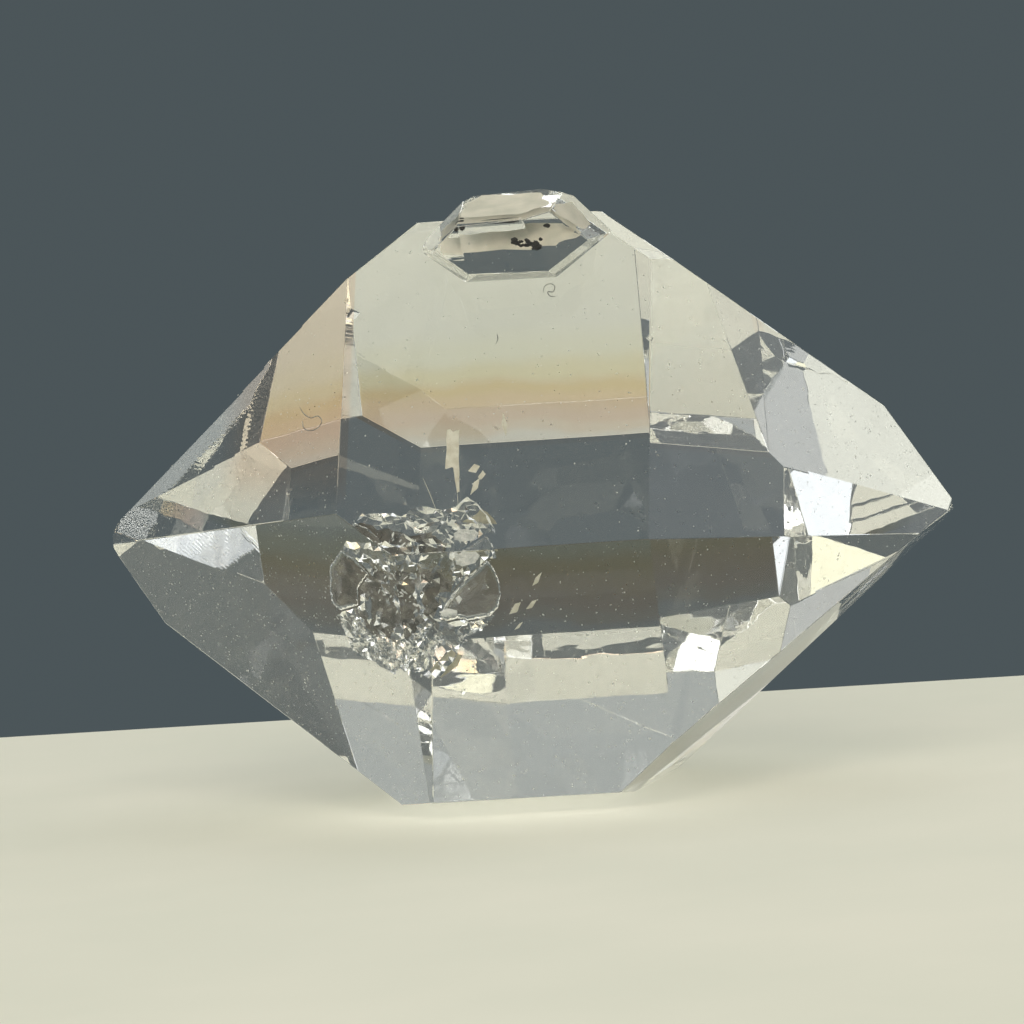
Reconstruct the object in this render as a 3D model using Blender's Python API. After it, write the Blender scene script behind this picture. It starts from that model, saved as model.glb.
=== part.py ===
"""A clear, doubly terminated quartz crystal with a smaller one grown on the top of its front.

The long axis (the crystal's c axis) runs along X, the front faces -Y and +Z is up. The crystal
lies on a small flat spot on its underside, and the origin is the point of that spot that is
straight below the crystal's centre. Inside its front is a healed fracture, a thin crumpled gap.

Each natural face is a plane, given by three numbers:
  turn      its direction around the long axis in degrees, 0 to the front, 90 to the top
  lean      how far its outward direction leans along the long axis, positive to the right
  distance  how far the plane is from the crystal's centre, in millimetres
"""

import math

import bmesh
import bpy
from mathutils import Euler, Matrix, Vector, noise

OBJECT_NAME = "quartz_crystal"
MM = 0.001

# Leans that quartz always has, in degrees
PRISM = 0.0
RHOMB = 38.21           # the big end faces
STEEP_CORNER = 24.44    # the small face that cuts the corner between a prism and two rhombs
RHOMB_BEVEL = 42.27     # the narrow face along the edge between two rhombs

# Size and attitude of the large crystal
BLOCK = 60.0            # side of the block that the faces are cut from, in millimetres
FRONT_LIFT = 8.0        # degrees that the front is turned up around the long axis
REST_DISTANCE = 8.18    # from the centre down to the flat spot that it lies on

# Distances of the prism faces, by their turn
PRISM_FACES = {30: 7.65, -30: 9.24, -90: 8.58, -150: 6.03, 150: 5.32, 90: 8.43}

# Distances of the rhomb faces at the right and the left end, by their turn
RIGHT_FACES = {30: 9.20, -30: 10.46, -90: 8.88, -150: 7.64, 150: 6.75, 90: 8.87}
LEFT_FACES = {30: 8.35, -30: 8.56, -90: 8.61, -150: 6.52, 150: 7.01, 90: 7.71}

# Small natural faces and worn places: turn, lean, distance
MINOR_FACES = [
    (60, STEEP_CORNER, 9.70),
    (-120, RHOMB_BEVEL, 8.93),
]
WORN_LEFT_TIP = [
    (75, -54.5, 10.00),
    (56, -74.6, 11.71),
    (-30, -81.2, 11.99),
    (-80, -60.1, 10.64),
    (180, -66.0, 11.10),
]
WORN_RIGHT_TIP = [
    (121, 76.1, 12.53),
    (-20, 74.0, 13.25),
]
CHIPPED_SHOULDER = [
    (95, 46.4, 9.97),
]

# The small crystal's centre, seen from the large one's, and its faces: turn, lean, distance
SMALL_CENTRE = (1.39, -5.42, 7.59)
SMALL_FACES = {
    "front": (-11.7, 8.1, 1.60),
    "front_right": (3.5, 35.0, 1.58),
    "front_left": (-16.9, -30.3, 2.26),
    "top": (65.1, 0.5, 1.00),
    "crest": (100.3, -2.6, 1.55),
    "foot": (-90.0, -1.0, 1.16),
    "upper_right": (57.0, 46.7, 1.55),
    "upper_left": (63.1, -44.6, 1.81),
    "lower_right": (-87.9, 39.8, 1.56),
    "lower_left": (-80.6, -40.2, 1.88),
    "crest_right": (89.7, 16.1, 1.60),
    "far_right": (108.9, 42.1, 2.12),
    "crest_left": (87.9, -34.6, 1.88),
    "left_end": (-20.0, -75.0, 2.62),
    "back": (150.0, 0.0, 2.60),
    "root": (-150.0, 0.0, 2.64),
}

# Growth ledges: a face's turn, lean and distance, the direction across the ledge in that face
# in degrees from the long axis, how far from the face's middle it starts, and how deep it is
LEDGES = [
    (90, -RHOMB, 7.71, 200, 2.1, 0.04),
    (90, -RHOMB, 7.71, 196, 3.3, 0.09),
    (90, -RHOMB, 7.71, 203, 4.4, 0.13),
    (150, -RHOMB, 7.01, 190, 1.6, 0.05),
    (150, -RHOMB, 7.01, 193, 2.9, 0.10),
    (90, PRISM, 8.43, 60, 1.4, 0.05),
    (-150, RHOMB, 7.64, 330, 2.2, 0.06),
]

# Chips knocked out of edges: the place, the size of the chip and its attitude
CHIPS = [
    ((5.16, -6.33, 4.34), 0.16, (20, 35, 10)),
    ((-3.78, -5.28, 6.16), 0.14, (40, 10, 25)),
    ((3.63, 1.28, 8.43), 0.34, (15, 50, 5)),
    ((-4.57, 3.54, 4.50), 0.28, (35, 20, 45)),
    ((-2.10, -8.13, -4.40), 0.14, (10, 25, 30)),
]

# The healed fracture: a thin, crumpled gap inside the crystal. Its middle, the direction across
# the gap (turn and lean), and its outline in the gap's own plane, to the right and upwards
FRACTURE_MIDDLE = (-0.83, -7.24, -2.51)
FRACTURE_FACING = (167.3, 14.4)
FRACTURE_OUTLINE = [
    (-2.71, 1.51), (-3.49, 0.18), (-3.26, -1.19), (-2.40, -1.89), (-1.62, -2.28), (-0.82, -2.42),
    (-0.03, -1.69), (0.87, -0.98), (1.53, 0.05), (1.53, 1.16), (0.71, 2.40), (-0.86, 2.02),
    (-2.49, 1.77),
]
FRACTURE_GAP = 0.12
FRACTURE_CREASES = 0.46     # from crease to crease
CREASE_HEADINGS = (20, 100)     # directions across the creases, in degrees from the right
FRACTURE_RELIEF = 0.30      # how far the crumples stand out of the plane
CRUMPLES_PER_MM = 1.7

# The hair crack by which it opens at the chip on the lower front edge: its middle to the right and
# upwards in the gap's plane, its size there, and how far it runs outwards and into the gap
CRACK_MIDDLE = (-0.91, -1.65)
CRACK_SIZE = (0.30, 0.07)
CRACK_OUT = 1.95
CRACK_IN = 0.06


def face_normal(turn, lean):
    """Outward direction of a face."""
    around = math.radians(turn)
    along = math.radians(lean)
    across = math.cos(along)
    return Vector((math.sin(along), -across * math.cos(around), across * math.sin(around)))


def cut_off(bm, normal, distance):
    """Cut away what lies beyond a plane and close the cut with one flat face."""
    everything = bm.verts[:] + bm.edges[:] + bm.faces[:]
    result = bmesh.ops.bisect_plane(
        bm, geom=everything, dist=1e-8, plane_co=normal * distance, plane_no=normal, clear_outer=True
    )
    rim = [item for item in result["geom_cut"] if isinstance(item, bmesh.types.BMEdge)]
    if rim:
        bmesh.ops.edgeloop_fill(bm, edges=rim)


def crystal_from_faces(name, faces, centre):
    """Cut a block by every face in turn, so that a crystal with flat faces is left."""
    bm = bmesh.new()
    bmesh.ops.create_cube(bm, size=BLOCK * MM)
    for turn, lean, distance in faces:
        cut_off(bm, face_normal(turn, lean), distance * MM)
    bmesh.ops.recalc_face_normals(bm, faces=bm.faces[:])
    bmesh.ops.translate(bm, verts=bm.verts[:], vec=Vector(centre) * MM)
    mesh = bpy.data.meshes.new(name)
    bm.to_mesh(mesh)
    bm.free()
    return bpy.data.objects.new(name, mesh)


def large_crystal():
    """The main crystal: six prism faces, six rhomb faces at each end, and what is worn off."""
    faces = [(turn, PRISM, distance) for turn, distance in PRISM_FACES.items()]
    faces += [(turn, RHOMB, distance) for turn, distance in RIGHT_FACES.items()]
    faces += [(turn, -RHOMB, distance) for turn, distance in LEFT_FACES.items()]
    faces += MINOR_FACES + WORN_LEFT_TIP + WORN_RIGHT_TIP + CHIPPED_SHOULDER
    faces.append((-90.0 - FRONT_LIFT, PRISM, REST_DISTANCE))
    return crystal_from_faces(OBJECT_NAME, faces, (0.0, 0.0, 0.0))


def small_crystal():
    """The small crystal, complete, with its root inside the large one."""
    crystal = crystal_from_faces("small_crystal", SMALL_FACES.values(), SMALL_CENTRE)
    crystal.hide_render = True
    crystal.display_type = "WIRE"
    return crystal


def ledge_cutter(turn, lean, distance, across, start, depth):
    """A block that planes a face down by a little, from a line across the face outwards."""
    normal = face_normal(turn, lean)
    axis = Vector((1.0, 0.0, 0.0))
    along = (axis - normal * axis.dot(normal)).normalized()
    angle = math.radians(across)
    step = along * math.cos(angle) + normal.cross(along) * math.sin(angle)
    side = normal.cross(step)
    middle = normal * (distance - depth + BLOCK / 4) + step * (start + BLOCK / 4)
    turned = Matrix((step, side, normal)).transposed().to_4x4()
    bm = bmesh.new()
    bmesh.ops.create_cube(bm, size=BLOCK / 2 * MM, matrix=Matrix.Translation(middle * MM) @ turned)
    return cutter_from(bm, "ledge")


def chip_cutter(place, size, attitude):
    """A small block set askew over an edge."""
    rotation = Euler([math.radians(angle) for angle in attitude]).to_matrix().to_4x4()
    bm = bmesh.new()
    bmesh.ops.create_cube(bm, size=size * MM, matrix=Matrix.Translation(Vector(place) * MM) @ rotation)
    return cutter_from(bm, "chip")


def fracture_place():
    """From the fracture's own directions (right, upwards, inwards, in millimetres) to the crystal's."""
    inward = face_normal(*FRACTURE_FACING)
    axis = Vector((1.0, 0.0, 0.0))
    right = (axis - inward * axis.dot(inward)).normalized()
    turned = Matrix((right, right.cross(inward), inward)).transposed().to_4x4()
    return Matrix.Translation(Vector(FRACTURE_MIDDLE) * MM) @ turned @ Matrix.Scale(MM, 4)


def turn_outwards(bm):
    """Point all faces of a closed shape away from its inside, also where it is thin and creased."""
    bmesh.ops.recalc_face_normals(bm, faces=bm.faces[:])
    if bm.calc_volume(signed=True) < 0.0:
        bmesh.ops.reverse_faces(bm, faces=bm.faces[:])


def fracture_cutter():
    """A thin sheet of the fracture's outline, creased both ways and crumpled."""
    bm = bmesh.new()
    bm.faces.new([bm.verts.new((right, up, 0.0)) for right, up in FRACTURE_OUTLINE])
    reach = max(math.hypot(*corner) for corner in FRACTURE_OUTLINE)
    creases = int(reach / FRACTURE_CREASES) + 1
    for heading in CREASE_HEADINGS:
        angle = math.radians(heading)
        across = Vector((math.cos(angle), math.sin(angle), 0.0))
        for step in range(-creases, creases + 1):
            everything = bm.verts[:] + bm.edges[:] + bm.faces[:]
            bmesh.ops.bisect_plane(
                bm, geom=everything, dist=1e-4, plane_co=across * step * FRACTURE_CREASES, plane_no=across
            )
    bmesh.ops.triangulate(bm, faces=bm.faces[:])
    for vert in bm.verts:
        vert.co.z = FRACTURE_RELIEF * noise.noise(vert.co * CRUMPLES_PER_MM)
    other_side = bmesh.ops.extrude_face_region(bm, geom=bm.faces[:])["geom"]
    moved = [item for item in other_side if isinstance(item, bmesh.types.BMVert)]
    bmesh.ops.translate(bm, verts=moved, vec=(0.0, 0.0, FRACTURE_GAP))
    bm.transform(fracture_place())
    turn_outwards(bm)
    return cutter_from(bm, "healed_fracture")


def crack_cutter():
    """A flat slit from the fracture straight out to the chip."""
    right, up = CRACK_MIDDLE
    width, height = CRACK_SIZE
    bm = bmesh.new()
    bmesh.ops.create_cube(bm, size=1.0)
    bmesh.ops.scale(bm, verts=bm.verts[:], vec=(width, height, CRACK_OUT + CRACK_IN))
    bmesh.ops.translate(bm, verts=bm.verts[:], vec=(right, up, (CRACK_IN - CRACK_OUT) / 2))
    bm.transform(fracture_place())
    turn_outwards(bm)
    return cutter_from(bm, "hair_crack")


def cutter_from(bm, name):
    """An object that only cuts."""
    mesh = bpy.data.meshes.new(name)
    bm.to_mesh(mesh)
    bm.free()
    cutter = bpy.data.objects.new(name, mesh)
    cutter.hide_render = True
    cutter.display_type = "WIRE"
    return cutter


def clear_quartz():
    """Colourless, clear and glossy."""
    material = bpy.data.materials.new("clear_quartz")
    material.use_nodes = True
    shader = material.node_tree.nodes["Principled BSDF"]
    shader.inputs["Base Color"].default_value = (0.97, 0.98, 0.97, 1.0)
    shader.inputs["Roughness"].default_value = 0.03
    shader.inputs["Metallic"].default_value = 0.0
    shader.inputs["IOR"].default_value = 1.544
    shader.inputs["Transmission Weight"].default_value = 1.0
    return material


def combine(crystal, other, operation, cutters):
    """Join another shape to the crystal or cut it out of it."""
    cutters.objects.link(other)
    modifier = crystal.modifiers.new(other.name, "BOOLEAN")
    modifier.operation = operation
    modifier.solver = "EXACT"
    modifier.object = other


def main():
    for leftover in list(bpy.data.objects):
        bpy.data.objects.remove(leftover, do_unlink=True)
    scene = bpy.context.scene
    scene.unit_settings.system = "METRIC"

    parts = bpy.data.collections.new("herkimer_diamond")
    cutters = bpy.data.collections.new("cutters")
    scene.collection.children.link(parts)
    scene.collection.children.link(cutters)

    crystal = large_crystal()
    parts.objects.link(crystal)
    crystal.data.materials.append(clear_quartz())
    for ledge in LEDGES:
        combine(crystal, ledge_cutter(*ledge), "DIFFERENCE", cutters)
    combine(crystal, small_crystal(), "UNION", cutters)
    for chip in CHIPS:
        combine(crystal, chip_cutter(*chip), "DIFFERENCE", cutters)
    combine(crystal, fracture_cutter(), "DIFFERENCE", cutters)
    combine(crystal, crack_cutter(), "DIFFERENCE", cutters)

    lift = Matrix.Rotation(-math.radians(FRONT_LIFT), 4, "X")
    stand = Matrix.Translation((0.0, 0.0, REST_DISTANCE * MM)) @ lift
    for shape in parts.objects[:] + cutters.objects[:]:
        shape.data.transform(stand)


main()
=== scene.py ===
import math
import random

import bmesh
import bpy
from mathutils import Euler, Matrix, Vector, geometry, noise


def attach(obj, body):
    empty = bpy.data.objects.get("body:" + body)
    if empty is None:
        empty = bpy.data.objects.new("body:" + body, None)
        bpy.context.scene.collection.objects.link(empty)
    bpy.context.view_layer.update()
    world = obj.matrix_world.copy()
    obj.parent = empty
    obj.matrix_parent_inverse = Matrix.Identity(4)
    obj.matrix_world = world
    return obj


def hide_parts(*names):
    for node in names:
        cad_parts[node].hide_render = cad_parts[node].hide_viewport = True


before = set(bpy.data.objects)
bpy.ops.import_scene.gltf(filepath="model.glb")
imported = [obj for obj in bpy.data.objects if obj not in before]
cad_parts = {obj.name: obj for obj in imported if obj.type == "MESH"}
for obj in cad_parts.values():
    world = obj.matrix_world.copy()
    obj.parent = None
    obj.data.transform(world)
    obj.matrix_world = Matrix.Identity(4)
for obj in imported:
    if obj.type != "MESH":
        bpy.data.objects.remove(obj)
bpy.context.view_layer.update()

MM = 0.001

# The crystal's own directions: X along the long axis, -Y to the front, Z up, in millimetres from
# its centre. It is then turned a little around the long axis and stood on its rest spot.
FRONT_LIFT = 8.0        # degrees that the front is turned up
REST_DISTANCE = 8.18    # from the centre down to the flat spot that it lies on
TURN_UP = Matrix.Rotation(-math.radians(FRONT_LIFT), 4, "X")
STAND = Matrix.Translation((0.0, 0.0, REST_DISTANCE * MM)) @ TURN_UP
CENTRE = Vector((0.0, 0.0, REST_DISTANCE)) * MM

# Leans that quartz always has, in degrees
PRISM = 0.0
RHOMB = 38.21
STEEP_CORNER = 24.44
RHOMB_BEVEL = 42.27

REFRACTION = 1.544      # of quartz
BLOCK = 60.0            # side of the block that the faces are cut from
EDGE_WEAR = 0.022       # width of the worn strip along the natural edges

# Distances of the prism faces, then of the rhomb faces at each end, by their turn
PRISM_FACES = {30: 7.65, -30: 9.24, -90: 8.58, -150: 6.03, 150: 5.32, 90: 8.43}
RIGHT_FACES = {30: 9.20, -30: 10.46, -90: 8.88, -150: 7.64, 150: 6.75, 90: 8.87}
LEFT_FACES = {30: 8.35, -30: 8.56, -90: 8.61, -150: 6.52, 150: 7.01, 90: 7.71}

# Small natural faces and worn places: turn, lean, distance
MINOR_FACES = [
    (60, STEEP_CORNER, 9.70),
    (-120, RHOMB_BEVEL, 8.93),
    (75, -54.5, 10.00),
    (56, -74.6, 11.71),
    (-30, -81.2, 11.99),
    (-80, -60.1, 10.64),
    (180, -66.0, 11.10),
    (121, 76.1, 12.53),
    (-20, 74.0, 13.25),
    (95, 46.4, 9.97),
]

SMALL_CENTRE = (1.39, -5.42, 7.59)
SMALL_FACES = [
    (-11.7, 8.1, 1.60),
    (3.5, 35.0, 1.58),
    (-16.9, -30.3, 2.26),
    (65.1, 0.5, 1.00),
    (100.3, -2.6, 1.55),
    (-90.0, -1.0, 1.16),
    (57.0, 46.7, 1.55),
    (63.1, -44.6, 1.81),
    (-87.9, 39.8, 1.56),
    (-80.6, -40.2, 1.88),
    (89.7, 16.1, 1.60),
    (108.9, 42.1, 2.12),
    (87.9, -34.6, 1.88),
    (-20.0, -75.0, 2.62),
    (150.0, 0.0, 2.60),
    (-150.0, 0.0, 2.64),
]

# Growth ledges: a face's turn, lean and distance, the direction across the ledge in that face
# in degrees from the long axis, how far from the face's middle it starts, and how deep it is
LEDGES = [
    (90, -RHOMB, 7.71, 200, 2.1, 0.04),
    (90, -RHOMB, 7.71, 196, 3.3, 0.09),
    (90, -RHOMB, 7.71, 203, 4.4, 0.13),
    (150, -RHOMB, 7.01, 190, 1.6, 0.05),
    (150, -RHOMB, 7.01, 193, 2.9, 0.10),
    (90, PRISM, 8.43, 60, 1.4, 0.05),
    (-150, RHOMB, 7.64, 330, 2.2, 0.06),
]

# Chips knocked out of edges: the place, the size of the chip and its attitude
CHIPS = [
    ((5.16, -6.33, 4.34), 0.16, (20, 35, 10)),
    ((-3.78, -5.28, 6.16), 0.14, (40, 10, 25)),
    ((3.63, 1.28, 8.43), 0.34, (15, 50, 5)),
    ((-4.57, 3.54, 4.50), 0.28, (35, 20, 45)),
    ((-2.10, -8.13, -4.40), 0.14, (10, 25, 30)),
]

# The healed fracture: its middle, the direction across its plane (turn and lean), and the outlines
# of the gaps that it is made of, to the right and upwards in that plane
FRACTURE_MIDDLE = Vector((-0.83, -7.24, -2.51))
FRACTURE_FACING = (167.3, 14.4)
CRUMPLED_PART = [
    (-3.34, -0.60), (-3.26, -1.19), (-2.98, -1.79), (-2.40, -1.89), (-1.95, -2.15), (-1.62, -2.28),
    (-1.40, -2.05), (-0.82, -2.42), (-0.56, -2.31), (-0.20, -1.90), (-0.03, -1.69), (0.23, -1.25),
    (0.60, -1.08), (0.87, -0.98), (1.12, -0.72), (1.38, -0.48), (1.12, -0.62), (0.85, -0.66),
    (0.48, -0.70), (0.18, -0.62), (-0.19, -0.69), (-0.46, -0.55), (-0.24, -0.09), (0.18, 0.38),
    (0.58, 0.73), (0.98, 1.01), (1.27, 1.18), (1.53, 1.18), (1.34, 1.67), (1.06, 2.07), (0.71, 2.40),
    (0.36, 2.05), (-0.10, 1.90), (-0.50, 2.04), (-0.86, 2.02), (-1.33, 1.67), (-1.60, 1.80),
    (-1.94, 1.75), (-2.49, 1.77), (-2.70, 1.50), (-2.28, 1.30), (-1.82, 0.84), (-2.32, 0.32),
    (-2.46, -0.24), (-3.20, -0.47),
]
SMOOTH_SHELL = [
    (-0.42, -0.53), (-0.19, -0.11), (0.22, 0.35), (0.62, 0.69), (1.02, 0.97), (1.25, 1.14),
    (1.43, 0.88), (1.54, 0.51), (1.56, 0.08), (1.42, -0.34), (1.16, -0.57), (0.85, -0.61),
    (0.48, -0.65), (0.18, -0.57), (-0.19, -0.64),
]
LEFT_CELL = [
    (-2.76, 1.48), (-2.35, 1.29), (-1.89, 0.84), (-2.39, 0.34), (-2.52, -0.20), (-3.26, -0.42),
    (-3.50, -0.25), (-3.49, 0.24), (-3.31, 0.94),
]
LOWER_CELLS = [
    [(-2.85, -0.63), (-2.53, -0.54), (-2.35, -0.77), (-2.42, -1.21), (-2.80, -1.34), (-2.96, -1.07)],
    [(-2.40, -1.27), (-1.83, -1.10), (-1.32, -1.17), (-1.02, -1.52), (-1.20, -1.97), (-1.66, -2.20),
     (-2.13, -2.00), (-2.46, -1.80)],
    [(-1.10, -2.14), (-0.96, -1.54), (-0.41, -0.93), (-0.30, -1.03), (-0.71, -1.50), (-1.20, -2.10)],
    [(-1.44, -1.39), (-1.03, -0.98), (-0.61, -0.58), (-0.53, -0.71), (-0.92, -1.11), (-1.33, -1.52)],
]
DARK_FILMS = [
    [(-2.60, 0.95), (-1.90, 1.10), (-1.20, 0.85), (-0.60, 1.00), (-0.10, 0.55), (-0.35, -0.15),
     (-0.90, -0.45), (-1.25, -0.80), (-1.60, -1.15), (-2.20, -1.20), (-2.60, -0.60), (-2.75, 0.10)],
    [(-2.72, 1.30), (-2.35, 1.18), (-2.02, 0.84), (-2.50, 0.34), (-2.62, -0.15), (-3.20, -0.30),
     (-3.38, -0.18), (-3.38, 0.24), (-3.22, 0.90)],
]
# Thin films in the fracture, each with the height of its folds
PALE_FILMS = [
    ([(0.38, 1.29), (0.58, 1.43), (1.00, 1.42), (1.13, 1.30), (0.97, 1.07), (0.60, 1.00),
      (0.39, 1.07)], 0.10),
    ([(-0.28, -0.35), (-0.03, -0.25), (0.27, -0.33), (0.25, -0.46), (-0.12, -0.50)], 0.04),
    ([(0.25, 0.04), (0.38, 0.13), (0.46, 0.00), (0.35, -0.15)], 0.04),
]
OLIVE_FILMS = [
    ([(0.42, 1.46), (0.80, 1.62), (1.05, 1.92), (1.22, 1.80), (1.45, 1.52), (1.50, 1.40),
      (0.95, 1.38)], 0.02),
    ([(-0.96, -2.10), (-0.49, -1.70), (-0.23, -1.53), (0.06, -1.73), (-0.10, -2.03),
      (-0.63, -2.37)], 0.05),
]

# White shards in the fracture: from where to where they are strewn, how many, and how widely
FROST = [
    ((-2.30, -1.30), (-1.20, -1.95), 46, 0.20),
    ((-2.85, -0.70), (-2.55, -1.25), 18, 0.09),
    ((-1.15, -2.05), (-0.35, -1.00), 26, 0.06),
    ((0.20, -1.20), (1.35, -0.52), 24, 0.05),
    ((-3.35, -0.60), (-3.00, -1.70), 14, 0.05),
    ((-2.00, 1.00), (-0.80, 0.80), 20, 0.16),
    ((-1.60, 0.40), (-0.90, -0.10), 18, 0.14),
]

# Thin plates and slivers elsewhere in the crystal, corner by corner in its own directions
BLADE = [
    [(-0.95, -4.73, 1.54), (-0.60, -4.74, 1.52), (-0.56, -5.43, 0.33), (-0.78, -5.38, 0.42),
     (-0.97, -5.40, 0.38)],
    [(-0.74, -5.38, 0.42), (-0.56, -5.38, 0.42), (-0.53, -5.81, -0.34), (-0.60, -5.82, -0.36)],
]
SLIVERS = [
    [(-0.28, -5.66, 0.30), (-0.11, -5.54, 0.50), (0.06, -5.58, 0.43), (-0.05, -5.70, 0.23)],
    [(0.01, -5.77, 0.10), (0.15, -5.66, 0.30), (0.24, -5.73, 0.18), (0.10, -5.82, 0.01)],
    [(-0.20, -6.07, -0.42), (-0.10, -5.85, -0.04), (0.07, -5.79, 0.07), (0.02, -5.96, -0.22)],
    [(0.71, -4.88, 2.03), (0.84, -5.11, 1.63), (0.82, -5.31, 1.27), (0.69, -5.10, 1.64)],
    [(1.58, -7.58, -2.32), (1.72, -7.71, -2.08), (1.91, -7.79, -1.95), (1.76, -7.62, -2.24)],
    [(0.82, -7.15, -3.05), (1.02, -7.31, -2.78), (1.20, -7.33, -2.74), (1.05, -7.18, -3.01)],
    [(1.32, -7.22, -2.94), (1.52, -7.34, -2.73), (1.66, -7.35, -2.71), (1.49, -7.23, -2.92)],
    [(0.90, -6.89, -3.50), (1.06, -6.98, -3.34), (1.18, -7.01, -3.29), (1.05, -6.92, -3.45)],
]

# Pale veils inside the small crystal, behind its front, under its top and at its right end, and a
# dark slit under its upper front edge
SMALL_VEILS = [
    [(-0.50, -5.84, 7.28), (-0.55, -5.25, 7.93), (-0.25, -5.33, 7.84), (1.48, -5.25, 7.92),
     (2.50, -5.30, 7.87), (3.17, -5.64, 7.49), (2.43, -5.90, 7.20)],
    [(-0.07, -6.43, 8.08), (-0.10, -5.27, 8.62), (0.29, -4.65, 8.90), (2.05, -4.74, 8.85),
     (2.42, -5.74, 8.36), (1.63, -6.45, 8.04)],
    [(2.47, -5.75, 8.38), (2.88, -4.80, 8.52), (3.40, -4.86, 7.83), (3.20, -5.55, 7.64),
     (2.50, -6.15, 8.08)],
]
SMALL_SLIT = [(0.56, -6.84, 7.93), (1.10, -6.77, 7.93), (1.62, -6.70, 7.92)]

# Black grains just behind the small crystal's front: place along and up, how many, and their spread
SMALL_GRAINS = [
    (1.72, 7.28, 16, 0.15),
    (1.40, 7.40, 5, 0.07),
    (2.02, 7.14, 4, 0.06),
    (-0.06, 8.10, 1, 0.02),
    (-0.06, 7.88, 2, 0.02),
    (2.34, 7.78, 3, 0.05),
]
GRAIN_DEPTH = -6.55

# Fine hairs above the fracture
HAIRS = [
    [(-1.53, -6.32, 0.28), (-1.31, -6.60, -0.21), (-1.09, -6.91, -0.76)],
    [(-0.60, -5.81, -0.33), (-0.56, -6.03, -0.72)],
]

# Dust fibres lying on the front
FIBRES = [
    [(-5.23, -5.74, 3.11), (-5.07, -6.02, 2.88), (-4.82, -6.35, 2.72), (-4.57, -6.55, 2.74),
     (-4.42, -6.79, 2.57), (-4.55, -6.79, 2.38), (-4.83, -6.56, 2.33), (-5.05, -6.29, 2.45),
     (-5.10, -6.12, 2.67)],
    [(2.03, -5.42, 5.95), (2.08, -5.30, 6.16), (2.26, -5.27, 6.21), (2.37, -5.33, 6.11),
     (2.32, -5.42, 5.96), (2.17, -5.41, 5.97), (2.23, -5.48, 5.84), (2.41, -5.51, 5.80)],
    [(0.71, -6.09, 4.79), (0.74, -6.18, 4.64), (0.69, -6.26, 4.49)],
]


def face_normal(turn, lean):
    """Outward direction of a face."""
    around = math.radians(turn)
    along = math.radians(lean)
    across = math.cos(along)
    return Vector((math.sin(along), -across * math.cos(around), across * math.sin(around)))


def keep(name, bm, material=None):
    """An object in the scene from a finished mesh."""
    mesh = bpy.data.meshes.new(name)
    bm.to_mesh(mesh)
    bm.free()
    item = bpy.data.objects.new(name, mesh)
    bpy.context.scene.collection.objects.link(item)
    if material:
        mesh.materials.append(material)
    return item


def crystal_from_faces(name, faces, centre):
    """Cut a block by every face in turn, wear its edges, and keep the crystal that is left."""
    bm = bmesh.new()
    bmesh.ops.create_cube(bm, size=BLOCK * MM)
    for turn, lean, distance in faces:
        normal = face_normal(turn, lean)
        everything = bm.verts[:] + bm.edges[:] + bm.faces[:]
        cut = bmesh.ops.bisect_plane(
            bm,
            geom=everything,
            dist=1e-8,
            plane_co=normal * distance * MM,
            plane_no=normal,
            clear_outer=True,
        )
        rim = [part for part in cut["geom_cut"] if isinstance(part, bmesh.types.BMEdge)]
        if rim:
            bmesh.ops.edgeloop_fill(bm, edges=rim)
    bmesh.ops.recalc_face_normals(bm, faces=bm.faces[:])
    bmesh.ops.bevel(
        bm,
        geom=bm.edges[:],
        offset=EDGE_WEAR * MM,
        offset_type="OFFSET",
        segments=2,
        profile=0.6,
        affect="EDGES",
    )
    bmesh.ops.translate(bm, verts=bm.verts[:], vec=Vector(centre) * MM)
    return keep(name, bm)


def ledge_block(turn, lean, distance, across, start, depth):
    """A block that planes a face down by a little, from a line across the face outwards."""
    normal = face_normal(turn, lean)
    axis = Vector((1.0, 0.0, 0.0))
    along = (axis - normal * axis.dot(normal)).normalized()
    angle = math.radians(across)
    step = along * math.cos(angle) + normal.cross(along) * math.sin(angle)
    middle = normal * (distance - depth + BLOCK / 4) + step * (start + BLOCK / 4)
    turned = Matrix((step, normal.cross(step), normal)).transposed().to_4x4()
    bm = bmesh.new()
    bmesh.ops.create_cube(bm, size=BLOCK / 2 * MM, matrix=Matrix.Translation(middle * MM) @ turned)
    return keep("ledge", bm)


def chip_block(place, size, attitude):
    """A small block set askew over an edge."""
    rotation = Euler([math.radians(angle) for angle in attitude]).to_matrix().to_4x4()
    bm = bmesh.new()
    bmesh.ops.create_cube(bm, size=size * MM, matrix=Matrix.Translation(Vector(place) * MM) @ rotation)
    return keep("chip", bm)


def crystal():
    """The large crystal with its ledges and chips, and the small one grown on its front."""
    faces = [(turn, PRISM, distance) for turn, distance in PRISM_FACES.items()]
    faces += [(turn, RHOMB, distance) for turn, distance in RIGHT_FACES.items()]
    faces += [(turn, -RHOMB, distance) for turn, distance in LEFT_FACES.items()]
    faces += MINOR_FACES + [(-90.0 - FRONT_LIFT, PRISM, REST_DISTANCE)]
    body = crystal_from_faces("crystal", faces, (0.0, 0.0, 0.0))
    others = [("DIFFERENCE", ledge_block(*ledge)) for ledge in LEDGES]
    others.append(("UNION", crystal_from_faces("small_crystal", SMALL_FACES, SMALL_CENTRE)))
    others += [("DIFFERENCE", chip_block(*chip)) for chip in CHIPS]
    for operation, other in others:
        modifier = body.modifiers.new(other.name, "BOOLEAN")
        modifier.operation = operation
        modifier.solver = "EXACT"
        modifier.object = other
    bpy.context.view_layer.update()
    grown = bpy.data.meshes.new_from_object(body.evaluated_get(bpy.context.evaluated_depsgraph_get()))
    body.modifiers.clear()
    body.data = grown
    body.data.name = "crystal"
    for _, other in others:
        bpy.data.objects.remove(other, do_unlink=True)
    return body


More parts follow.
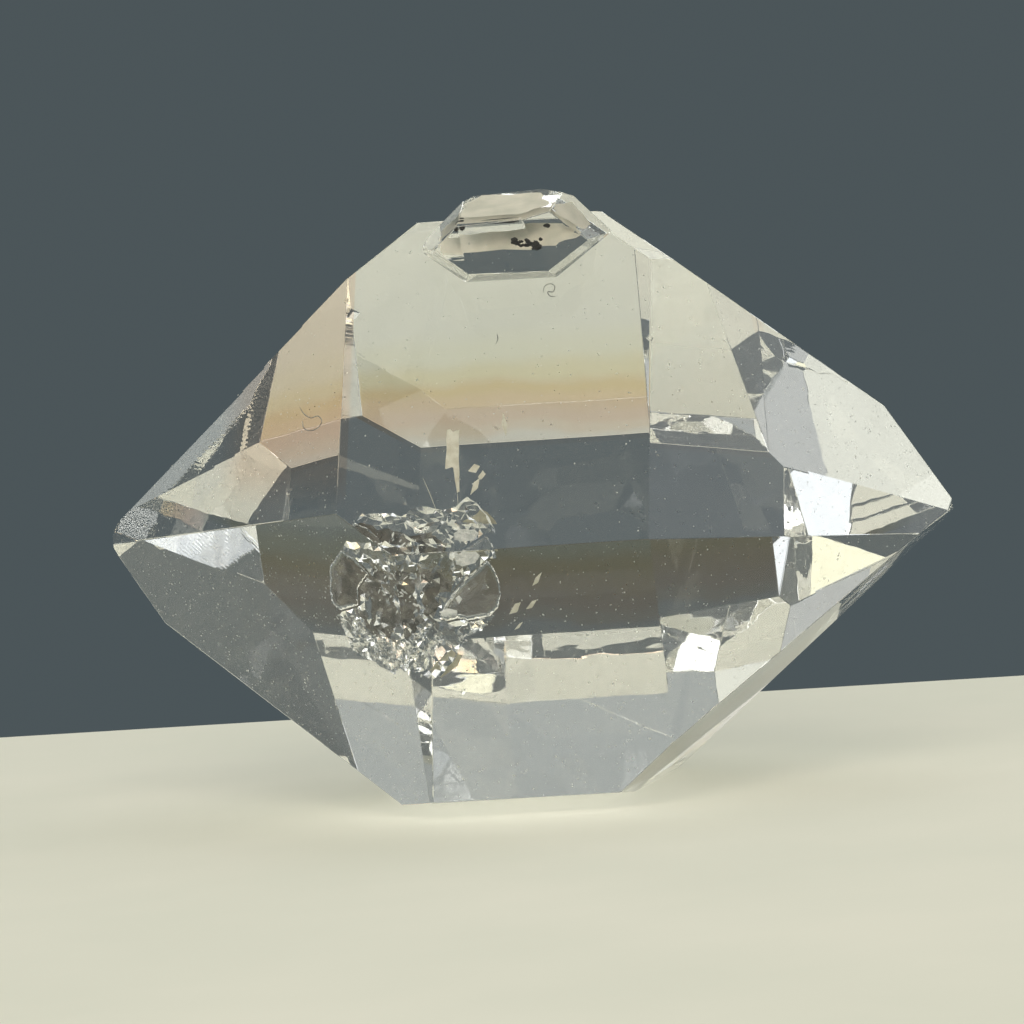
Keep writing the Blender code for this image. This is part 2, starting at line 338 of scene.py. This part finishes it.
def fracture_place():
    """From the fracture's own directions (right, upwards, inwards, in millimetres) to the crystal's."""
    inward = face_normal(*FRACTURE_FACING)
    axis = Vector((1.0, 0.0, 0.0))
    right = (axis - inward * axis.dot(inward)).normalized()
    turned = Matrix((right, right.cross(inward), inward)).transposed().to_4x4()
    return Matrix.Translation(FRACTURE_MIDDLE * MM) @ turned @ Matrix.Scale(MM, 4)


def is_inside(spot, outline):
    """Whether a point lies within an outline."""
    found = False
    for i, corner in enumerate(outline):
        last = outline[i - 1]
        if (corner.y > spot.y) != (last.y > spot.y):
            if spot.x < (last.x - corner.x) * (spot.y - corner.y) / (last.y - corner.y) + corner.x:
                found = not found
    return found


def rim_distance(spot, outline):
    """How far a point is from the nearest edge of an outline."""
    nearest = 1e9
    for i, corner in enumerate(outline):
        foot, along = geometry.intersect_point_line(spot, outline[i - 1], corner)
        end = outline[i - 1] if along < 0.0 else corner if along > 1.0 else foot.to_2d()
        nearest = min(nearest, (spot - end).length)
    return nearest


def crumple(spot, per_mm, seed):
    """Height of crumpled foil: sharp creases, with smaller ones between them."""
    height = 0.0
    for octave in range(3):
        scale = 2.2 ** octave
        place = Vector((spot.x, spot.y, 0.0)) * per_mm * scale + Vector((0.0, 0.0, seed))
        height += (0.5 - abs(noise.noise(place))) / scale * 1.3 ** octave
    return height


def leaf(outline, spacing, folds, per_mm, thickness, bulge, depth, seed):
    """A thin leaf within an outline, crumpled and bulging towards the front, closed all round."""
    chance = random.Random(seed)
    corners = [Vector(corner) for corner in outline]
    rim = []
    for i, corner in enumerate(corners):
        last = corners[i - 1]
        steps = max(1, round((corner - last).length / spacing))
        for step in range(steps):
            wander = Vector((chance.uniform(-0.16, 0.16), chance.uniform(-0.16, 0.16))) * spacing
            rim.append(last.lerp(corner, step / steps) + wander)
    low = Vector((min(p.x for p in rim), min(p.y for p in rim)))
    high = Vector((max(p.x for p in rim), max(p.y for p in rim)))
    points = list(rim)
    rows = int((high.y - low.y) / (spacing * 0.87)) + 1
    columns = int((high.x - low.x) / spacing) + 1
    for row in range(rows):
        for column in range(columns):
            shift = Vector((chance.uniform(-0.3, 0.3), chance.uniform(-0.3, 0.3)))
            spot = low + (Vector((column + row % 2 / 2, row * 0.87)) + shift) * spacing
            if is_inside(spot, rim) and rim_distance(spot, rim) > spacing * 0.45:
                points.append(spot)
    loop = [(i, (i + 1) % len(rim)) for i in range(len(rim))]
    flat, _, triangles, _, _, _ = geometry.delaunay_2d_cdt(points, loop, [], 1, 1e-6)
    half_width = max(rim_distance(spot, rim) for spot in flat)
    bm = bmesh.new()
    sheets = [[], []]
    for spot in flat:
        edge = rim_distance(spot, rim)
        fade = min(1.0, edge / 0.10)
        dome = 1.0 - (1.0 - min(1.0, edge / half_width)) ** 2
        front = depth - bulge * dome + folds * crumple(spot, per_mm, seed) * (0.4 + 0.6 * fade)
        for sheet, extra in zip(sheets, (0.0, thickness * min(1.0, edge / 0.04))):
            sheet.append(bm.verts.new((spot.x, spot.y, front + extra)))
    for corners in triangles:
        bm.faces.new([sheets[0][i] for i in corners])
        bm.faces.new([sheets[1][i] for i in reversed(corners)])
    bmesh.ops.remove_doubles(bm, verts=bm.verts[:], dist=1e-5)
    bm.transform(fracture_place())
    turn_outwards(bm)
    return bm


def turn_outwards(bm):
    """Point all faces of a closed shape away from its inside, also where it is thin."""
    bmesh.ops.recalc_face_normals(bm, faces=bm.faces[:])
    if bm.calc_volume(signed=True) < 0.0:
        bmesh.ops.reverse_faces(bm, faces=bm.faces[:])


def joined(name, shapes, material, hollow=False, smooth=False, mirrored=True):
    """Several shapes as one piece. Hollow ones face inwards, as gaps in the crystal do.

    A piece that isn't mirrored shows directly, but not in the faces' reflections.
    """
    whole = bmesh.new()
    for shape in shapes:
        if hollow:
            bmesh.ops.reverse_faces(shape, faces=shape.faces[:])
        part = bpy.data.meshes.new("part")
        shape.to_mesh(part)
        shape.free()
        whole.from_mesh(part)
        bpy.data.meshes.remove(part)
    for face in whole.faces:
        face.smooth = smooth
    piece = keep(name, whole, material)
    piece.visible_glossy = mirrored
    piece.data.transform(STAND)
    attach(piece, "root")
    return piece


RIM_WANDER = 0.18       # how ragged a plate's rim is, as a share of its reach


def plate(corners, thickness):
    """A thin flat plate with a ragged rim, from its corners in the crystal's own directions."""
    points = [Vector(corner) for corner in corners]
    middle = sum(points, Vector()) / len(points)
    across = (points[1] - points[0]).cross(points[2] - points[1]).normalized() * thickness / 2
    rim = []
    for i, corner in enumerate(points):
        last = points[i - 1]
        for step in range(4):
            spot = last.lerp(corner, step / 4)
            wander = RIM_WANDER * noise.noise(spot * 9.0) if step else 0.0
            rim.append(spot + (middle - spot) * wander)
    bm = bmesh.new()
    fronts = [bm.verts.new((spot - across * 0.3) * MM) for spot in rim]
    backs = [bm.verts.new((spot + across * 0.3) * MM) for spot in rim]
    peaks = [bm.verts.new((middle - across) * MM), bm.verts.new((middle + across) * MM)]
    for i in range(len(rim)):
        bm.faces.new((fronts[i - 1], fronts[i], peaks[0]))
        bm.faces.new((backs[i], backs[i - 1], peaks[1]))
        bm.faces.new((fronts[i], fronts[i - 1], backs[i - 1], backs[i]))
    turn_outwards(bm)
    return bm


def thread(points, radius):
    """A thin round thread along a smooth path, tapering at its ends."""
    spots = [Vector(point) for point in points]
    ends = [spots[0] * 2 - spots[1]] + spots + [spots[-1] * 2 - spots[-2]]
    path = []
    for i in range(1, len(ends) - 2):
        p, q, r, s = ends[i - 1:i + 3]
        for step in range(6):
            k = step / 6
            bend = (q - p + r - q) * 0.5, (r - q + s - r) * 0.5
            path.append(
                q * (2 * k**3 - 3 * k**2 + 1) + bend[0] * (k**3 - 2 * k**2 + k)
                + r * (3 * k**2 - 2 * k**3) + bend[1] * (k**3 - k**2)
            )
    path.append(spots[-1])
    bm = bmesh.new()
    rings = []
    for i, spot in enumerate(path):
        along = (path[min(i + 1, len(path) - 1)] - path[max(i - 1, 0)]).normalized()
        side = along.orthogonal().normalized()
        lift = along.cross(side)
        girth = radius * min(1.0, 0.35 + 0.2 * min(i, len(path) - 1 - i))
        ring = []
        for corner in range(6):
            angle = math.tau * corner / 6
            outwards = side * math.cos(angle) + lift * math.sin(angle)
            ring.append(bm.verts.new((spot + outwards * girth) * MM))
        rings.append(ring)
    for first, second in zip(rings, rings[1:]):
        for i in range(6):
            bm.faces.new((first[i - 1], first[i], second[i], second[i - 1]))
    bm.faces.new(rings[0])
    bm.faces.new(rings[-1])
    turn_outwards(bm)
    return bm


def lump(place, size, seed):
    """A small irregular grain."""
    bm = bmesh.new()
    bmesh.ops.create_icosphere(bm, subdivisions=2, radius=1.0)
    for vert in bm.verts:
        vert.co *= 1.0 + 0.55 * noise.noise(vert.co * 1.4 + Vector((seed, 0.0, 0.0)))
        vert.co = Vector((vert.co.x * 1.3, vert.co.y * 0.5, vert.co.z)) * size
    bmesh.ops.translate(bm, verts=bm.verts[:], vec=place)
    bm.transform(Matrix.Scale(MM, 4))
    return bm


# How thickly each kind of face is dusted: turn, lean, how many times as much as elsewhere
DUSTY_FACES = [
    (-30, -RHOMB, 3.6),
    (30, -RHOMB, 1.2),
    (-30, PRISM, 1.7),
    (30, PRISM, 0.35),
    (30, RHOMB, 0.45),
    (-30, RHOMB, 1.2),
]
SPECKS = 4800
SPECK_SIZE = (0.004, 0.026)


def specks(body, seed):
    """Many tiny grains of dust on the crystal's faces."""
    chance = random.Random(seed)
    spread = []
    weights = []
    mesh = body.data
    for face in mesh.polygons:
        normal = face.normal
        share = 0.08
        for turn, lean, times in DUSTY_FACES:
            if normal.dot(face_normal(turn, lean)) > 0.995:
                share = times
        corners = [mesh.vertices[i].co for i in face.vertices]
        for i in range(1, len(corners) - 1):
            spread.append((corners[0], corners[i], corners[i + 1], normal))
            weights.append(geometry.area_tri(*spread[-1][:3]) * share)
    bm = bmesh.new()
    for a, b, c, normal in chance.choices(spread, weights, k=SPECKS):
        r, s = chance.random(), chance.random()
        if r + s > 1.0:
            r, s = 1.0 - r, 1.0 - s
        spot = a + (b - a) * r + (c - a) * s
        low, high = SPECK_SIZE
        size = (low + (high - low) * chance.random() ** 4) * MM
        upright = normal.to_track_quat("Z", "Y").to_matrix().to_4x4()
        turned = upright @ Matrix.Rotation(chance.uniform(0, 3), 4, "Z")
        stretch = Matrix.Diagonal((size * chance.uniform(0.8, 1.8), size, size * 0.5, 1.0))
        tip = Matrix.Translation(spot) @ turned @ stretch
        ring = []
        for k in range(4):
            angle = math.tau * k / 4
            ring.append(bm.verts.new(tip @ Vector((math.cos(angle), math.sin(angle), 0.0))))
        top = bm.verts.new(tip @ Vector((0.0, 0.0, 1.0)))
        bottom = bm.verts.new(tip @ Vector((0.0, 0.0, -0.4)))
        for k in range(4):
            bm.faces.new((ring[k - 1], ring[k], top))
            bm.faces.new((ring[k], ring[k - 1], bottom))
    bmesh.ops.recalc_face_normals(bm, faces=bm.faces[:])
    return bm


def face_group():
    """Shader group: 1 on one flat face of the crystal, 0 elsewhere."""
    group = bpy.data.node_groups.new("crystal_face", "ShaderNodeTree")
    group.interface.new_socket("Place", in_out="INPUT", socket_type="NodeSocketVector")
    group.interface.new_socket("Outward", in_out="INPUT", socket_type="NodeSocketVector")
    group.interface.new_socket("Distance", in_out="INPUT", socket_type="NodeSocketFloat")
    group.interface.new_socket("Mask", in_out="OUTPUT", socket_type="NodeSocketFloat")
    source, sink = group.nodes.new("NodeGroupInput"), group.nodes.new("NodeGroupOutput")
    dot = group.nodes.new("ShaderNodeVectorMath")
    dot.operation = "DOT_PRODUCT"
    near = group.nodes.new("ShaderNodeMath")
    near.operation = "COMPARE"
    near.inputs[2].default_value = 0.16 * MM
    group.links.new(source.outputs["Place"], dot.inputs[0])
    group.links.new(source.outputs["Outward"], dot.inputs[1])
    group.links.new(dot.outputs["Value"], near.inputs[0])
    group.links.new(source.outputs["Distance"], near.inputs[1])
    group.links.new(near.outputs[0], sink.inputs["Mask"])
    return group


# Painted rainbow fringe: the dispersion colours that show through the lower part of the steep back
# face, painted into its colour: height in millimetres above the rest spot, and colour
PAINTED_FRINGE = [
    (6.60, (0.99, 0.90, 0.84)),
    (7.05, (0.98, 0.70, 0.50)),
    (7.50, (0.94, 0.56, 0.36)),
    (8.15, (0.92, 0.52, 0.24)),
    (8.60, (0.86, 0.52, 0.18)),
    (9.25, (0.95, 0.80, 0.44)),
    (10.2, (0.99, 0.97, 0.80)),
    (11.4, (0.99, 0.995, 0.985)),
]
LEFT_END_PAINTED_FRINGE = (1.0, 0.80, 0.68)       # the same painted fringe, painted over the left end's upper window
LEFT_END_PAINTED_FRINGE_FROM = (-8.1, 9.3)        # where it begins, along the crystal and upwards
LET_THROUGH = 0.70              # share of the lamps' light that passes the crystal


def clear_quartz():
    """Colourless quartz with a painted rainbow fringe. Light from the lamps passes it, so that what lies
    in and under it is lit.
    """
    material = bpy.data.materials.new("clear_quartz")
    material.use_nodes = True
    nodes, links = material.node_tree.nodes, material.node_tree.links
    shader = nodes["Principled BSDF"]
    shader.inputs["IOR"].default_value = REFRACTION
    shader.inputs["Transmission Weight"].default_value = 0.98

    place = nodes.new("ShaderNodeTexCoord").outputs["Object"]
    group = face_group()

    def on_face(turn, lean, distance):
        outward = face_normal(turn + FRONT_LIFT, lean)
        node = nodes.new("ShaderNodeGroup")
        node.node_tree = group
        node.inputs["Outward"].default_value = outward
        node.inputs["Distance"].default_value = (distance + outward.z * REST_DISTANCE) * MM
        links.new(place, node.inputs["Place"])
        return node.outputs["Mask"]

    def math_node(operation, first, second):
        node = nodes.new("ShaderNodeMath")
        node.operation = operation
        for socket, value in zip(node.inputs, (first, second)):
            if isinstance(value, float):
                socket.default_value = value
            else:
                links.new(value, socket)
        return node.outputs[0]

    # painted rainbow fringe: dispersion colours painted into the base colour by height, on the steep back
    # face
    heights = nodes.new("ShaderNodeSeparateXYZ")
    links.new(place, heights.inputs[0])
    low, high = PAINTED_FRINGE[0][0], PAINTED_FRINGE[-1][0]
    level = nodes.new("ShaderNodeMapRange")
    level.inputs["From Min"].default_value = low * MM
    level.inputs["From Max"].default_value = high * MM
    wander = nodes.new("ShaderNodeTexNoise")
    wander.inputs["Scale"].default_value = 420.0
    links.new(place, wander.inputs["Vector"])
    shift = math_node("MULTIPLY", math_node("SUBTRACT", wander.outputs["Fac"], 0.5), 0.0011)
    links.new(math_node("ADD", heights.outputs["Z"], shift), level.inputs["Value"])
    ramp = nodes.new("ShaderNodeValToRGB")
    ramp.color_ramp.interpolation = "EASE"
    while len(ramp.color_ramp.elements) < len(PAINTED_FRINGE):
        ramp.color_ramp.elements.new(0.5)
    for stop, (height, colour) in zip(ramp.color_ramp.elements, PAINTED_FRINGE):
        stop.position = (height - low) / (high - low)
        stop.color = (*colour, 1.0)
    links.new(level.outputs[0], ramp.inputs["Fac"])
    # the painted fringe, painted on the steep back face only
    back_face_painted_fringe = nodes.new("ShaderNodeMix")
    back_face_painted_fringe.data_type = "RGBA"
    back_face_painted_fringe.inputs["A"].default_value = (0.99, 0.995, 0.985, 1.0)
    links.new(on_face(150, PRISM, PRISM_FACES[150]), back_face_painted_fringe.inputs["Factor"])
    links.new(ramp.outputs["Color"], back_face_painted_fringe.inputs["B"])
    # the same painted fringe, painted over the left end's upper window
    left_end_fringe_mask = on_face(30, -RHOMB, LEFT_FACES[30])
    for socket, start in zip((heights.outputs["X"], heights.outputs["Z"]), LEFT_END_PAINTED_FRINGE_FROM):
        fade = nodes.new("ShaderNodeMapRange")
        fade.inputs["From Min"].default_value = start * MM
        fade.inputs["From Max"].default_value = (start + 0.9) * MM
        links.new(socket, fade.inputs["Value"])
        left_end_fringe_mask = math_node("MULTIPLY", left_end_fringe_mask, fade.outputs[0])
    left_end_painted_fringe = nodes.new("ShaderNodeMix")
    left_end_painted_fringe.data_type = "RGBA"
    left_end_painted_fringe.inputs["B"].default_value = (*LEFT_END_PAINTED_FRINGE, 1.0)
    links.new(left_end_fringe_mask, left_end_painted_fringe.inputs["Factor"])
    links.new(back_face_painted_fringe.outputs["Result"], left_end_painted_fringe.inputs["A"])
    links.new(left_end_painted_fringe.outputs["Result"], shader.inputs["Base Color"])

    # faint haze and dull spots
    haze = nodes.new("ShaderNodeTexNoise")
    haze.inputs["Scale"].default_value = 500.0
    haze.inputs["Detail"].default_value = 2.0
    links.new(place, haze.inputs["Vector"])
    spots = nodes.new("ShaderNodeTexNoise")
    spots.inputs["Scale"].default_value = 7000.0
    spots.inputs["Detail"].default_value = 1.0
    links.new(place, spots.inputs["Vector"])
    over = math_node("MAXIMUM", math_node("SUBTRACT", haze.outputs["Fac"], 0.59), 0.0)
    soft = math_node("MULTIPLY", over, 0.16)
    dull = math_node("MULTIPLY", math_node("GREATER_THAN", spots.outputs["Fac"], 0.76), 0.30)
    links.new(math_node("ADD", soft, dull), shader.inputs["Roughness"])

    # growth lines on the back of the left end, and the faint unevenness of every face
    lines = nodes.new("ShaderNodeTexWave")
    lines.inputs["Scale"].default_value = 2600.0
    lines.inputs["Distortion"].default_value = 2.5
    lines.inputs["Detail"].default_value = 1.0
    slant = nodes.new("ShaderNodeMapping")
    slant.inputs["Rotation"].default_value = (0.0, math.radians(38.0), math.radians(20.0))
    links.new(place, slant.inputs["Vector"])
    links.new(slant.outputs[0], lines.inputs["Vector"])
    lined = on_face(150, -RHOMB, LEFT_FACES[150])
    swell = nodes.new("ShaderNodeTexNoise")
    swell.inputs["Scale"].default_value = 700.0
    swell.inputs["Detail"].default_value = 1.0
    links.new(place, swell.inputs["Vector"])
    ridges = math_node("MULTIPLY", lines.outputs["Fac"], math_node("MULTIPLY", lined, 0.09))
    height = math_node("ADD", ridges, swell.outputs["Fac"])
    bump = nodes.new("ShaderNodeBump")
    bump.inputs["Distance"].default_value = 0.0022 * MM
    links.new(height, bump.inputs["Height"])
    links.new(bump.outputs[0], shader.inputs["Normal"])

    let_lamps_through(material, shader, LET_THROUGH)
    return material


def let_lamps_through(material, shader, share):
    """Let a share of the lamps' light pass, so that it reaches what lies in and under the crystal."""
    nodes, links = material.node_tree.nodes, material.node_tree.links
    clear = nodes.new("ShaderNodeBsdfTransparent")
    clear.inputs["Color"].default_value = (share, share, share * 0.97, 1.0)
    path = nodes.new("ShaderNodeLightPath")
    mix = nodes.new("ShaderNodeMixShader")
    links.new(path.outputs["Is Shadow Ray"], mix.inputs[0])
    links.new(shader.outputs[0], mix.inputs[1])
    links.new(clear.outputs[0], mix.inputs[2])
    links.new(mix.outputs[0], nodes["Material Output"].inputs["Surface"])


def gap_wall():
    """The crystal's own face where it meets the gas in a gap."""
    material = bpy.data.materials.new("gap_wall")
    material.use_nodes = True
    shader = material.node_tree.nodes["Principled BSDF"]
    shader.inputs["Base Color"].default_value = (0.97, 0.965, 0.94, 1.0)
    shader.inputs["Roughness"].default_value = 0.0
    shader.inputs["IOR"].default_value = REFRACTION
    shader.inputs["Transmission Weight"].default_value = 1.0
    let_lamps_through(material, shader, 0.98)
    return material


def mottling_group():
    """Shader group: a colour that wanders between two."""
    group = bpy.data.node_groups.new("mottling", "ShaderNodeTree")
    group.interface.new_socket("Place", in_out="INPUT", socket_type="NodeSocketVector")
    group.interface.new_socket("Per Metre", in_out="INPUT", socket_type="NodeSocketFloat")
    group.interface.new_socket("First", in_out="INPUT", socket_type="NodeSocketColor")
    group.interface.new_socket("Second", in_out="INPUT", socket_type="NodeSocketColor")
    group.interface.new_socket("Color", in_out="OUTPUT", socket_type="NodeSocketColor")
    source, sink = group.nodes.new("NodeGroupInput"), group.nodes.new("NodeGroupOutput")
    cloud = group.nodes.new("ShaderNodeTexNoise")
    cloud.inputs["Detail"].default_value = 3.0
    spread = group.nodes.new("ShaderNodeMapRange")
    spread.inputs["From Min"].default_value = 0.35
    spread.inputs["From Max"].default_value = 0.65
    blend = group.nodes.new("ShaderNodeMix")
    blend.data_type = "RGBA"
    group.links.new(source.outputs["Place"], cloud.inputs["Vector"])
    group.links.new(source.outputs["Per Metre"], cloud.inputs["Scale"])
    group.links.new(cloud.outputs["Fac"], spread.inputs["Value"])
    group.links.new(spread.outputs[0], blend.inputs["Factor"])
    group.links.new(source.outputs["First"], blend.inputs["A"])
    group.links.new(source.outputs["Second"], blend.inputs["B"])
    group.links.new(blend.outputs["Result"], sink.inputs["Color"])
    return group


def mottled(name, first, second, per_metre, roughness):
    """An opaque material whose colour wanders between two."""
    material = bpy.data.materials.new(name)
    material.use_nodes = True
    nodes, links = material.node_tree.nodes, material.node_tree.links
    shader = nodes["Principled BSDF"]
    shader.inputs["Roughness"].default_value = roughness
    mottling = nodes.new("ShaderNodeGroup")
    mottling.node_tree = bpy.data.node_groups.get("mottling") or mottling_group()
    mottling.inputs["Per Metre"].default_value = per_metre
    mottling.inputs["First"].default_value = (*first, 1.0)
    mottling.inputs["Second"].default_value = (*second, 1.0)
    links.new(nodes.new("ShaderNodeTexCoord").outputs["Object"], mottling.inputs["Place"])
    links.new(mottling.outputs["Color"], shader.inputs["Base Color"])
    return material


def frost():
    """White shards in the lower part of the fracture."""
    chance = random.Random(12)
    place = fracture_place()
    shards = []
    for (u, w), (v, x), count, reach in FROST:
        for _ in range(count):
            k = chance.random()
            across = u + (v - u) * k + chance.gauss(0, reach)
            up = w + (x - w) * k + chance.gauss(0, reach)
            spot = Vector((across, up, chance.uniform(-0.3, 0.0)))
            tilt = Euler((chance.uniform(-0.9, 0.9), chance.uniform(-0.9, 0.9), chance.uniform(0.0, 3.1)))
            size = chance.uniform(0.02, 0.11)
            corners = []
            for turn in (0.0, 1.1, 2.4, 3.3, 4.9):
                angle = turn + chance.uniform(0.0, 0.7)
                corner = Vector((math.cos(angle) * size, math.sin(angle) * size * 0.42, 0.0))
                corner.rotate(tilt)
                corners.append(place @ (spot + corner) / MM)
            shards.append(plate(corners, 0.012))
    return shards


def inside_the_crystal():
    """The healed fracture and the other things that the crystal grew around."""
    wall = gap_wall()
    crumpled = [leaf(CRUMPLED_PART, 0.17, 0.46, 0.80, 0.035, 0.0, 0.0, 5)]
    for i, outline in enumerate(LOWER_CELLS):
        crumpled.append(leaf(outline, 0.11, 0.30, 1.3, 0.03, 0.05, -0.22, 11 + i))
    fracture = joined("healed_fracture", crumpled, wall, hollow=True, mirrored=False)
    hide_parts("quartz_crystal")
    smooth = [leaf(SMOOTH_SHELL, 0.07, 0.02, 1.0, 0.05, 0.16, -0.02, 3)]
    smooth.append(leaf(LEFT_CELL, 0.07, 0.03, 0.8, 0.05, 0.08, -0.02, 4))
    shell = joined("smooth_shells", smooth, wall, hollow=True, smooth=True, mirrored=False)
    dark = mottled("dark_film", (0.024, 0.022, 0.020), (0.120, 0.105, 0.085), 2200.0, 0.25)
    pale = mottled("pale_film", (0.70, 0.73, 0.74), (0.97, 0.98, 0.98), 5000.0, 0.35)
    olive = mottled("olive_film", (0.34, 0.33, 0.26), (0.56, 0.54, 0.43), 3000.0, 0.4)
    cream = mottled("cream_plate", (0.70, 0.67, 0.56), (0.88, 0.86, 0.76), 4000.0, 0.5)
    veil = mottled("veil", (0.78, 0.77, 0.68), (0.98, 0.94, 0.84), 1500.0, 0.5)
    black = mottled("black_grain", (0.006, 0.006, 0.006), (0.03, 0.026, 0.022), 8000.0, 0.5)
    films = [leaf(outline, 0.10, 0.10, 1.2, 0.04, 0.05, 0.42, 21) for outline in DARK_FILMS]
    joined("dark_films", films, dark, smooth=True, mirrored=False)
    films = [leaf(outline, 0.035, fold, 4.0, 0.03, 0.06, -0.25, 31) for outline, fold in PALE_FILMS]
    joined("pale_films", films + frost(), pale, mirrored=False)
    films = [leaf(outline, 0.05, fold, 2.0, 0.03, 0.05, 0.30, 41) for outline, fold in OLIVE_FILMS]
    joined("olive_films", films, olive, mirrored=False)
    plates = [plate(corners, 0.04) for corners in BLADE] + [plate(corners, 0.03) for corners in SLIVERS]
    plates += [thread(points, 0.009) for points in HAIRS]
    joined("blade_and_slivers", plates, cream, mirrored=False)
    joined("small_crystal_veils", [plate(corners, 0.03) for corners in SMALL_VEILS], veil, mirrored=False)
    chance = random.Random(8)
    lumps = []
    for x, z, count, reach in SMALL_GRAINS:
        for _ in range(count):
            across = chance.gauss(0.0, reach)
            deep = chance.gauss(0.0, 0.08)
            high = chance.gauss(0.0, reach * 0.5)
            place = Vector((x + across, GRAIN_DEPTH + deep, z + high))
            lumps.append(lump(place, chance.uniform(0.03, 0.085), chance.uniform(0.0, 50.0)))
    lumps.append(thread(SMALL_SLIT, 0.032))
    joined("black_grains", lumps, black, mirrored=False)


# Surroundings
CAMERA_AZIMUTH = 7.935          # degrees from the front towards the right end
CAMERA_ELEVATION = 4.489
CAMERA_ROLL = -4.415
CAMERA_DISTANCE = 146.55 * MM
CAMERA_LENS = 171.74            # for a sensor 36 mm wide
LAMP_DISTANCE = 0.45            # in metres, of every lamp
DARK_SURROUNDINGS = (0.072, 0.092, 0.100, 1.0)
PALE_FLOOR = (0.78, 0.79, 0.71), (0.82, 0.82, 0.74)


def direction(azimuth, elevation):
    """Unit vector: azimuth 0 is straight to the back, 90 to the right, 180 to the front."""
    around = math.radians(azimuth)
    up = math.radians(elevation)
    return Vector((math.cos(up) * math.sin(around), math.cos(up) * math.cos(around), math.sin(up)))


def camera():
    data = bpy.data.cameras.new("camera")
    data.lens = CAMERA_LENS
    data.sensor_width = 36.0
    data.clip_start = 5.0 * MM
    data.clip_end = 10.0
    away = direction(180.0 - CAMERA_AZIMUTH, CAMERA_ELEVATION)
    right = (-away).cross(Vector((0.0, 0.0, 1.0))).normalized()
    look = Matrix((right, right.cross(-away), away)).transposed()
    roll = Matrix.Rotation(math.radians(CAMERA_ROLL), 3, "Z")
    item = bpy.data.objects.new("camera", data)
    item.matrix_world = Matrix.Translation(CENTRE + away * CAMERA_DISTANCE) @ (look @ roll).to_4x4()
    bpy.context.scene.collection.objects.link(item)
    bpy.context.scene.camera = item


def softbox(name, azimuth, elevation, width, height, radiance, colour=(1.0, 1.0, 1.0), mirrored=True):
    """A soft lamp. One that isn't mirrored lights the floor and the inside, but shows in no face."""
    data = bpy.data.lights.new(name, "AREA")
    data.shape = "RECTANGLE"
    data.size = width
    data.size_y = height
    data.energy = radiance * math.pi * width * height
    data.color = colour
    item = bpy.data.objects.new(name, data)
    away = direction(azimuth, elevation)
    item.location = CENTRE + away * LAMP_DISTANCE
    item.rotation_euler = away.to_track_quat("Z", "Y").to_euler()
    item.visible_camera = False
    item.visible_glossy = mirrored
    item.visible_transmission = mirrored
    bpy.context.scene.collection.objects.link(item)


def floor():
    """A pale shelf, whose back edge is just behind the crystal."""
    bm = bmesh.new()
    bmesh.ops.create_cube(bm, size=1.0)
    low, high = Vector((-0.060, -0.052, -0.00403)), Vector((0.045, 0.020, -0.00003))
    for vert in bm.verts:
        vert.co = Vector([high[i] if vert.co[i] > 0 else low[i] for i in range(3)])
    bmesh.ops.bevel(bm, geom=bm.edges[:], offset=0.4 * MM, segments=3, profile=0.5, affect="EDGES")
    keep("floor", bm, mottled("floor", *PALE_FLOOR, 90.0, 0.8))


def main():
    scene = bpy.context.scene
    world = bpy.data.worlds.new("surroundings")
    world.use_nodes = True
    world.node_tree.nodes["Background"].inputs["Color"].default_value = DARK_SURROUNDINGS
    scene.world = world
    scene.view_settings.view_transform = "Standard"
    scene.cycles.max_bounces = 20
    scene.cycles.glossy_bounces = 20
    scene.cycles.transmission_bounces = 20
    scene.cycles.diffuse_bounces = 2
    camera()
    floor()
    body = crystal()
    body.data.materials.clear()
    body.data.materials.append(clear_quartz())
    dust = mottled("dust", (0.60, 0.62, 0.60), (0.90, 0.91, 0.88), 9000.0, 0.7)
    joined("dust_specks", [specks(body, 6)], dust)
    lint = mottled("lint", (0.10, 0.10, 0.10), (0.45, 0.45, 0.43), 4000.0, 0.8)
    joined("dust_fibres", [thread(points, 0.013) for points in FIBRES], lint)
    body.data.transform(STAND)
    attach(body, "root")
    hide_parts("quartz_crystal")
    inside_the_crystal()
    softbox("overhead_back", 10.0, 60.0, 0.5, 0.35, 1.8, (1.0, 1.0, 0.93))
    softbox("overhead_front", 167.0, 60.0, 0.50, 0.34, 0.29, (0.97, 1.0, 0.94))
    softbox("front_key", 174.0, 42.0, 0.30, 0.20, 5.0, (1.0, 0.88, 0.70), mirrored=False)
    softbox("front_left_low", -153.0, 12.0, 0.17, 0.11, 1.05, (0.95, 0.985, 1.0))
    softbox("front_left_high", -155.0, 26.0, 0.14, 0.11, 1.1, (1.0, 0.96, 0.68))
    softbox("left", -116.0, 35.0, 0.34, 0.36, 0.74, (1.0, 0.99, 0.84))
    softbox("left_low", -130.0, 0.0, 0.20, 0.13, 0.42, (1.0, 1.0, 0.94))
    softbox("right", 95.0, 40.0, 0.2, 0.2, 0.8)


main()
